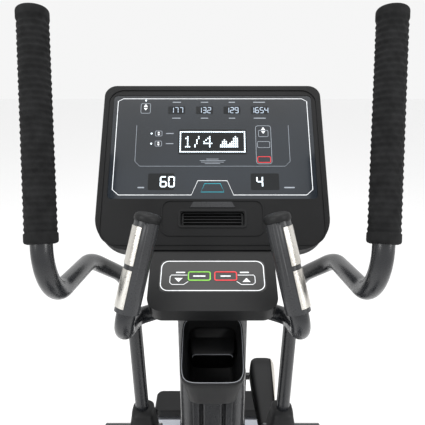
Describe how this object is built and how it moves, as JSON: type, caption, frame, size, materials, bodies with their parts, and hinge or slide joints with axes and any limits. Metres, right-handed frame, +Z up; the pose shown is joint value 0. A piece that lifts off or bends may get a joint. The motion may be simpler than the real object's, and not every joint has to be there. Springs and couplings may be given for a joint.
{
  "type": "elliptical trainer",
  "caption": "Front-drive elliptical trainer with console, fixed pulse grips, swinging foam handles, bottle holder, pedals on rear rollers and rails, and an enclosed belt-driven flywheel.",
  "frame": {"origin": "floor level, midway along the machine's length and width", "axes": "+Z up, +Y towards the front of the machine, where the drive is; the user stands at -Y facing +Y; +X is the user's right"},
  "size_m": [0.7, 2.16, 1.7283],
  "materials": {
    "frame_paint": "satin charcoal powder coat",
    "mast_paint": "satin dark grey powder coat",
    "black_plastic": "fine moulded texture",
    "console_plastic": "fine moulded texture",
    "display_lens": "gloss dark lens",
    "keypad_film": "semi-gloss printed film",
    "board": "solder mask",
    "grip_foam": "ribbed soft foam",
    "grip_plastic": "satin",
    "sensor_steel": "brushed",
    "silver_trim": "satin",
    "rail_aluminium": "anodised",
    "steel": "machined",
    "flywheel_iron": "turned",
    "black_rubber": "matte",
    "roller_urethane": "smooth urethane"
  },
  "bodies": {
    "base": {"main_spine": "frame_paint", "front_stabilizer": "frame_paint", "rear_stabilizer": "frame_paint", "rail_supports": "frame_paint", "rails": "rail_aluminium", "levelling_feet": "black_rubber", "stabilizer_end_caps": "black_plastic", "front_cover": "black_plastic", "front_plate": "silver_trim", "drive_post": "frame_paint", "drive_housing_left": "black_plastic", "drive_housing_right": "black_plastic", "crank_bearings": "steel", "drive_belt": "black_rubber", "brake_magnet": "steel", "mast": "mast_paint", "pivot_axle": "steel", "pivot_collars": "black_plastic", "handlebar_left": "frame_paint", "handlebar_right": "frame_paint", "sensor_grip_left": "grip_plastic", "sensor_grip_right": "grip_plastic", "sensor_plates": "sensor_steel", "console_back": "black_plastic", "console_bezel": "console_plastic", "display_glass": "display_lens", "circuit_board": "board", "fan_grille": "black_plastic", "keypad_housing": "console_plastic", "keypad_panel": "keypad_film", "console_neck": "black_plastic", "bottle_holder": "black_plastic", "transport_axles": "steel"},
    "crank": {"crank_axle": "steel", "crank_pulley": "black_plastic", "crank_arm_left": "frame_paint", "crank_arm_right": "frame_paint"},
    "flywheel": {"flywheel": "flywheel_iron"},
    "left_arm": {"swing_arm_left": "frame_paint", "handle_tube_left": "frame_paint", "grip_left": "grip_foam", "arm_cover_left": "black_plastic"},
    "left_link": {"link_left": "frame_paint"},
    "left_carriage": {"roller_axle_left": "steel"},
    "left_rollers": {"rollers_left": "roller_urethane"},
    "left_pedal_arm": {"pedal_arm_left": "frame_paint", "pedal_left": "black_plastic", "crank_end_cover_left": "black_plastic"},
    "left_transport_wheel": {"transport_wheel_left": "black_rubber"},
    "right_arm": {"swing_arm_right": "frame_paint", "handle_tube_right": "frame_paint", "grip_right": "grip_foam", "arm_cover_right": "black_plastic"},
    "right_link": {"link_right": "frame_paint"},
    "right_carriage": {"roller_axle_right": "steel"},
    "right_rollers": {"rollers_right": "roller_urethane"},
    "right_pedal_arm": {"pedal_arm_right": "frame_paint", "pedal_right": "black_plastic", "crank_end_cover_right": "black_plastic"},
    "right_transport_wheel": {"transport_wheel_right": "black_rubber"}
  },
  "joints": [
    {"name": "crank_spin", "type": "hinge", "parent": "base", "child": "crank", "pos_m": [0, 0.615, 0.38], "axis": [1, 0, 0], "continuous": true},
    {"name": "flywheel_spin", "type": "hinge", "parent": "base", "child": "flywheel", "pos_m": [0, 0.765, 0.31], "axis": [1, 0, 0], "continuous": true},
    {"name": "left_arm_swing", "type": "hinge", "parent": "base", "child": "left_arm", "pos_m": [0, 0.20236, 0.74], "axis": [1, 0, 0], "range_deg": [-21.2, 21.2]},
    {"name": "left_link_turn", "type": "hinge", "parent": "left_arm", "child": "left_link", "pos_m": [0, 0.20236, 0.16], "axis": [1, 0, 0], "range_deg": [-21.2, 21.2]},
    {"name": "left_carriage_slide", "type": "slide", "parent": "base", "child": "left_carriage", "axis": [0, 1, 0], "range_m": [-0.21, 0.21]},
    {"name": "left_roller_spin", "type": "hinge", "parent": "left_carriage", "child": "left_rollers", "pos_m": [0, -0.815, 0.1703], "axis": [1, 0, 0], "continuous": true},
    {"name": "left_pedal_rock", "type": "hinge", "parent": "left_carriage", "child": "left_pedal_arm", "pos_m": [0, -0.815, 0.1703], "axis": [1, 0, 0], "range_deg": [0, 17.08]},
    {"name": "left_transport_wheel_spin", "type": "hinge", "parent": "base", "child": "left_transport_wheel", "pos_m": [0, 1.052, 0.034], "axis": [1, 0, 0], "continuous": true},
    {"name": "right_arm_swing", "type": "hinge", "parent": "base", "child": "right_arm", "pos_m": [0, 0.20236, 0.74], "axis": [1, 0, 0], "range_deg": [-21.2, 21.2]},
    {"name": "right_link_turn", "type": "hinge", "parent": "right_arm", "child": "right_link", "pos_m": [0, 0.20236, 0.16], "axis": [1, 0, 0], "range_deg": [-21.2, 21.2]},
    {"name": "right_carriage_slide", "type": "slide", "parent": "base", "child": "right_carriage", "axis": [0, 1, 0], "range_m": [-0.21, 0.21]},
    {"name": "right_roller_spin", "type": "hinge", "parent": "right_carriage", "child": "right_rollers", "pos_m": [0, -0.75202, 0.1703], "axis": [1, 0, 0], "continuous": true},
    {"name": "right_pedal_rock", "type": "hinge", "parent": "right_carriage", "child": "right_pedal_arm", "pos_m": [0, -0.75202, 0.1703], "axis": [1, 0, 0], "range_deg": [-17.08, 0]},
    {"name": "right_transport_wheel_spin", "type": "hinge", "parent": "base", "child": "right_transport_wheel", "pos_m": [0, 1.052, 0.034], "axis": [1, 0, 0], "continuous": true}
  ],
  "couplings": [
    {"joint": "flywheel_spin", "follows": "crank_spin", "ratio": 7.2222},
    {"joint": "left_link_turn", "follows": "left_arm_swing", "ratio": -1},
    {"joint": "left_carriage_slide", "follows": "left_arm_swing", "m_per_rad": 0.5672},
    {"joint": "left_roller_spin", "follows": "left_arm_swing", "ratio": -14.18},
    {"joint": "right_arm_swing", "follows": "left_arm_swing", "ratio": -1},
    {"joint": "right_link_turn", "follows": "left_arm_swing", "ratio": 1},
    {"joint": "right_carriage_slide", "follows": "left_arm_swing", "m_per_rad": -0.5672},
    {"joint": "right_roller_spin", "follows": "left_arm_swing", "ratio": 14.18},
    {"joint": "left_pedal_rock", "follows": "right_pedal_rock", "ratio": -1}
  ]
}
